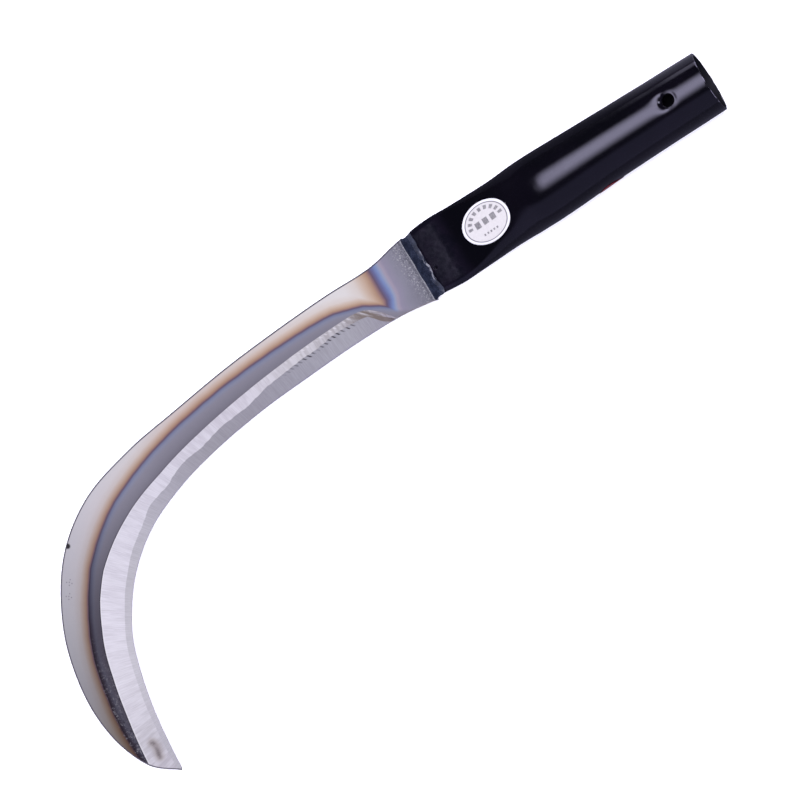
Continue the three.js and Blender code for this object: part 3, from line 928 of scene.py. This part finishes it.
def welds():
    paint = weld_paint()

    def front_reach(x):
        return lookup(WELD_EDGE_SIDE, x), lookup(WELD_SPINE_SIDE, x)

    def rear_reach(x):
        low, high = front_reach(x)
        return low + REAR_WELD_SHORTER, high - REAR_WELD_SHORTER

    front_ends = (-SOCKET_END + 0.2, BLADE_ROOT - 1.0)
    rear_ends = (-SOCKET_END - 0.1, BLADE_ROOT - 0.7)
    front = weld_bead("weld_front_ripple", "weld_bead_front", paint, front_ends, front_reach,
                      (FLAT_HEIGHT - 0.1, BLADE_FRONT, BLADE_FRONT - 0.1), 1)
    rear = weld_bead("weld_rear_ripple", "weld_bead_rear", paint, rear_ends, rear_reach,
                     (0.75, BLADE_REAR, BLADE_REAR + 0.1), 2, False)
    middle = -SOCKET_END - SHOULDER_GAP / 2
    lumps = [side_lump("weld_lump_" + side, "weld_tack_" + side, paint, (middle, y, LUMP_HEIGHT), seed)
             for side, y, seed in (("edge_side", -15.5, 31), ("spine_side", 14.9, 32))]
    return front, rear, *lumps


def weld_paint():
    s = Shader("weld_paint")
    place, toe = s.position(), s.attribute("toe")
    blotch = s.noise(place, 0.3, 4, 0.6)
    colour = s.shades(blotch, 0.35, 0.65, (19, 23, 33), (31, 36, 48))
    colour = s.paint(
        colour,
        ((62, 70, 84), s.span(s.noise(place, 1.1, 4, 0.7), 0.6, 0.72, 0, 0.6)),
        ((120, 122, 136), s.span(toe, 0.985, 1.0, 0, 0.5)))
    # Soot dulls most of the bead's edge on the socket.
    sooty = s.times(s.span(toe, 0.4, 0.25), s.span(s.noise(place, 0.17, 2), 0.56, 0.47))
    rough = s.level(sooty, s.span(blotch, 0.3, 0.7, 0.16, 0.3), 0.8)
    skin = s.bump(s.noise(place, 0.9, 3), 0.00014, 0.5)
    return s.finish(Base_Color=colour, Roughness=rough, Normal=skin, Specular_IOR_Level=0.75)


# -------- labels

def label(name, node, paper, slot, from_mouth, arc, half_length, half_width, seed):
    """A thin oval sticker that follows the socket, with a faintly lifted, uneven edge."""
    PAPER = 0.12
    GLUE = 0.05
    rings, around = 26, 112
    radial = np.linspace(0, 1, rings + 1)[1:]
    turn = np.linspace(0, 2 * math.pi, around, endpoint=False)
    rr, tt = np.meshgrid(radial, turn, indexing="ij")
    u = np.concatenate([[0.0], (rr * np.cos(tt)).ravel()])
    v = np.concatenate([[0.0], (rr * np.sin(tt)).ravel()])
    radius = np.hypot(u, v)
    flat = np.stack([u * half_length, v * half_width, np.zeros_like(u)], -1)
    lift = GLUE + 0.05 * smoothstep(0.9, 1.0, radius) * (1 + grain(flat, 6, seed))
    lift = lift + 0.02 * (1 + grain(flat, 4, seed + 1))
    edge = smoothstep(0.985, 1.0, radius)
    x, across = from_mouth - u * half_length, arc + v * half_width
    top = socket_surface(x, across, -(lift + PAPER * (1 - 0.5 * edge)))
    points = np.concatenate([top, socket_surface(x, across, -lift)])
    count = len(u)

    def disc(start):
        body = grid_faces(rings, around, wrap_columns=True) + start + 1
        return [*body, *fan(start, start + 1 + np.arange(around))]

    rim = 1 + (rings - 1) * around + np.arange(around)
    faces = [*disc(0), *disc(count), *bridge(rim, rim + count)]
    attributes = {"label_u": np.tile(u, 2), "label_v": np.tile(v, 2)}
    return make_piece(name, points, faces, paper, node, attributes)


def labels():
    front = label("label_front_oval", "inspection_label", white_label(), "white_label", *INSPECTION_LABEL)
    rear = label("label_rear_oval", "rear_label", red_label(), "red_label", *REAR_LABEL)
    return front, rear


def white_label():
    """White paper with a thin ring, a bright margin and plain grey marks that spell nothing: dashes in an
    arc, three square blocks and a row of dots. Lengths are shares of the label's half length or width."""
    RING_RADIUS, RING_HALF = 0.875, 0.026
    DASHES_ALL_ROUND = 17
    s = Shader("white_label")
    u, v = s.attribute("label_u"), s.attribute("label_v")
    radius = s.math("SQRT", s.math("ADD", s.times(u, u), s.times(v, v)))

    def block(at_u, at_v, half_u, half_v):
        """Ink in a small upright rectangle."""
        aside = s.math("DIVIDE", s.math("ABSOLUTE", s.math("SUBTRACT", u, at_u)), half_u)
        above = s.math("DIVIDE", s.math("ABSOLUTE", s.math("SUBTRACT", v, at_v)), half_v)
        return s.span(s.math("MAXIMUM", aside, above), 1.1, 0.9)

    fibre = s.noise(s.position(), 0.9, 4, 0.6)
    paper = s.shades(fibre, 0.3, 0.7, (185, 183, 175), (192, 190, 182))
    paper = s.paint(paper, ((206, 206, 202), s.span(radius, 0.88, 0.9)))
    from_ring = s.math("ABSOLUTE", s.math("SUBTRACT", radius, RING_RADIUS))
    ring = s.span(from_ring, RING_HALF, RING_HALF * 0.6, 0, 0.75)
    dashes = s.span(s.math("SINE", s.times(s.math("ARCTAN2", v, u), DASHES_ALL_ROUND)), -0.35, 0.15)
    band = s.times(s.span(radius, 0.56, 0.6), s.span(radius, 0.78, 0.74))
    marks = s.times(band, dashes, s.span(v, -0.08, -0.04))
    for at_u in (-0.34, 0, 0.34):
        marks = s.math("MAXIMUM", marks, block(at_u, 0.06, 0.11, 0.16))
    for at_u in (-0.28, -0.14, 0, 0.14, 0.28):
        marks = s.math("MAXIMUM", marks, block(at_u, -0.5, 0.035, 0.05))
    # The marks are printed in a thin grey that the paper's fibres break up.
    marks = s.times(marks, s.span(fibre, 0.3, 0.7, 0.76, 0.56))
    colour = s.paint(paper, ((40, 39, 46), s.math("MAXIMUM", ring, marks)))
    return s.finish(Base_Color=colour, Roughness=0.42, Normal=s.bump(fibre, 0.00004, 0.3))


def red_label():
    s = Shader("red_label")
    fibre = s.noise(s.position(), 0.9, 4, 0.6)
    colour = s.shades(fibre, 0.3, 0.7, (98, 9, 20), (118, 14, 26))
    return s.finish(Base_Color=colour, Roughness=0.4, Normal=s.bump(fibre, 0.00004, 0.3))


# -------- studio

# Where the camera stands, seen from the point that it aims at.
TILT_TO_MOUTH = math.radians(13.3)
TILT_TO_EDGE = math.radians(4.5)
ROLL = math.radians(32.06)
CAMERA_DISTANCE = 2.2014
LIGHT_COLOUR = (0.94, 0.92, 1.12)
ROOM_COLOUR = (0.82, 0.8, 1.25, 1)
CAMERA_AIM = (-216.9, -49.95, 0)  # head millimetres


def camera():
    back = Vector((math.tan(TILT_TO_MOUTH), -math.tan(TILT_TO_EDGE), 1)).normalized()
    along = Vector((1, 0, 0))
    along = (along - back * along.dot(back)).normalized()
    side = back.cross(along)
    right = along * math.cos(ROLL) - side * math.sin(ROLL)
    up = along * math.sin(ROLL) + side * math.cos(ROLL)
    aim = Vector(to_row(CAMERA_AIM))
    data = bpy.data.cameras.new("camera")
    data.lens = 200
    data.sensor_width = 36
    data.clip_start, data.clip_end = 0.05, 50
    obj = bpy.data.objects.new("camera", data)
    turned = Matrix((right, up, back)).transposed().to_4x4()
    obj.matrix_world = Matrix.Translation(aim + back * CAMERA_DISTANCE) @ turned
    bpy.context.scene.collection.objects.link(obj)
    bpy.context.scene.camera = obj


def softbox(name, centre, towards, size, radiance, fades=(), glossy=True, only=(),
            colour=LIGHT_COLOUR):
    """A rectangular light, as bright as radiance where it is seen. Each fade is an axis and the places
    along it where the light is dark and where it is full. only names the sole pieces it lights."""
    data = bpy.data.lights.new(name, "AREA")
    data.shape = "RECTANGLE"
    data.size, data.size_y = size
    data.energy = radiance * math.pi * size[0] * size[1]
    data.color = colour
    if fades:
        tree = Tree(data)
        place = tree.node("NewGeometry").outputs["Position"]
        axes = tree.node("SeparateXYZ", Vector=place).outputs
        strength = tree.times(*[tree.span(axes[axis], dark, full) for axis, dark, full in fades])
        tree.put(tree.nodes["Emission"].inputs["Strength"], strength)
    obj = bpy.data.objects.new(name, data)
    obj.location = centre
    obj.rotation_mode = "QUATERNION"
    obj.rotation_quaternion = Vector(towards).to_track_quat("-Z", "Y")
    obj.visible_camera = False
    obj.visible_glossy = glossy
    bpy.context.scene.collection.objects.link(obj)
    if only:
        lit = bpy.data.collections.new("lit_by_" + name)
        for piece in only:
            lit.objects.link(piece)
        obj.light_linking.receiver_collection = lit


def floor():
    REACH = 6.0
    BELOW = 0.0002
    z = FLOOR_Z - BELOW
    mesh = bpy.data.meshes.new("floor")
    corners = [(-REACH, -REACH, z), (REACH, -REACH, z), (REACH, REACH, z), (-REACH, REACH, z)]
    mesh.from_pydata(corners, [], [(0, 1, 2, 3)])
    # The floor is white, but its mirror image in the gloss paint is held back, as by black cards that lie
    # on both sides of the socket. The card on the back's side stops short of the mouth.
    s = Shader("floor")
    x, y, _ = s.node("SeparateXYZ", Vector=s.position()).outputs
    mouth = MOUTH_X / MM
    axis = AXIS_Y / MM
    past_card = s.times(s.span(x, mouth - 75, mouth - 5), s.span(y, axis + 5, axis + 30))
    card = s.mix(past_card, (0.04, 0.04, 0.05), (0.2, 0.2, 0.22))
    card = s.mix(s.span(y, axis - 5, axis - 25), card, (0.09, 0.09, 0.11))
    ray = s.node("LightPath").outputs
    white = s.mix(ray["Is Glossy Ray"], (0.9, 0.9, 0.9), card)
    glow = s.times(ray["Is Camera Ray"], 0.35)
    mesh.materials.append(s.finish(Base_Color=white, Roughness=0.9, Specular_IOR_Level=0.1,
                                   Emission_Color=(1, 1, 1), Emission_Strength=glow))
    obj = bpy.data.objects.new("floor", mesh)
    bpy.context.scene.collection.objects.link(obj)
    return obj


def studio(blade_piece, others):
    DOWN = (0, 0, -1)
    WHITE = (1, 1, 1)
    softbox("key", (0.26, 0.27, 0.62), DOWN, (0.68, 0.78), 5.8,
            (("X", -0.07, 0.02), ("X", 0.6, 0.5), ("Y", -0.12, 0.18), ("Y", 0.64, 0.25)), only=others)
    # The blade is bright steel from every side: a pale sky of its own, and pale walls low around it.
    softbox("blade_sky", (-0.3, 0.06, 0.62), DOWN, (1.3, 1.3), 1.02, only=(blade_piece,), colour=WHITE)
    WALL_AWAY, WALL_MIDDLE, WALL_SIZE, WALL_RADIANCE = 1.15, 0.5, (2.3, 0.9), 0.72
    for name, x, y in (("mouth", 1, 0), ("point", -1, 0), ("spine", 0, 1), ("edge", 0, -1)):
        middle = (x * WALL_AWAY - 0.1, y * WALL_AWAY, WALL_MIDDLE)
        softbox("blade_wall_" + name, middle, (-x, -y, 0), WALL_SIZE, WALL_RADIANCE,
                only=(blade_piece,), colour=WHITE)
    softbox("spine_side_low", (0.42, 1.0, 0.16), (0, -1, 0), (0.8, 0.3), 2.2,
            (("X", 0.02, 0.14), ("X", 0.82, 0.7), ("Z", 0.01, 0.06), ("Z", 0.31, 0.26)))
    softbox("wash", (0.0, 0.0, 1.9), DOWN, (2.4, 2.4), 3.6, glossy=False)

    # The room is dark overhead, paler past the side of the edge and low down at its two ends. Past the
    # floor the camera sees it white.
    world = bpy.data.worlds.new("studio")
    bpy.context.scene.world = world
    tree = Tree(world)
    x, y, z = tree.node("SeparateXYZ", Vector=tree.node("TexCoord").outputs["Generated"]).outputs
    lean = tree.math("ADD", tree.times(y, -1), tree.times(z, -0.6))
    edge_side = tree.span(lean, -0.15, 0.15, 0, 0.3)
    ends = tree.times(tree.span(tree.math("ABSOLUTE", x), 0.7, 0.95, 0, 0.4), tree.span(z, 0.25, 0.05))
    room = tree.math("ADD", tree.math("ADD", edge_side, ends), 0.05)
    seen = tree.node("LightPath").outputs["Is Camera Ray"]
    background = tree.nodes["Background"].inputs
    tree.put(background["Strength"], tree.level(seen, room, 0.97))
    background["Color"].default_value = ROOM_COLOUR
    bpy.context.scene.view_settings.view_transform = "Standard"


camera()
blade_piece = blade()
socket_piece = socket()
weld_pieces = welds()
label_pieces = labels()
floor_piece = floor()
studio(blade_piece, [socket_piece, *weld_pieces, *label_pieces, floor_piece])
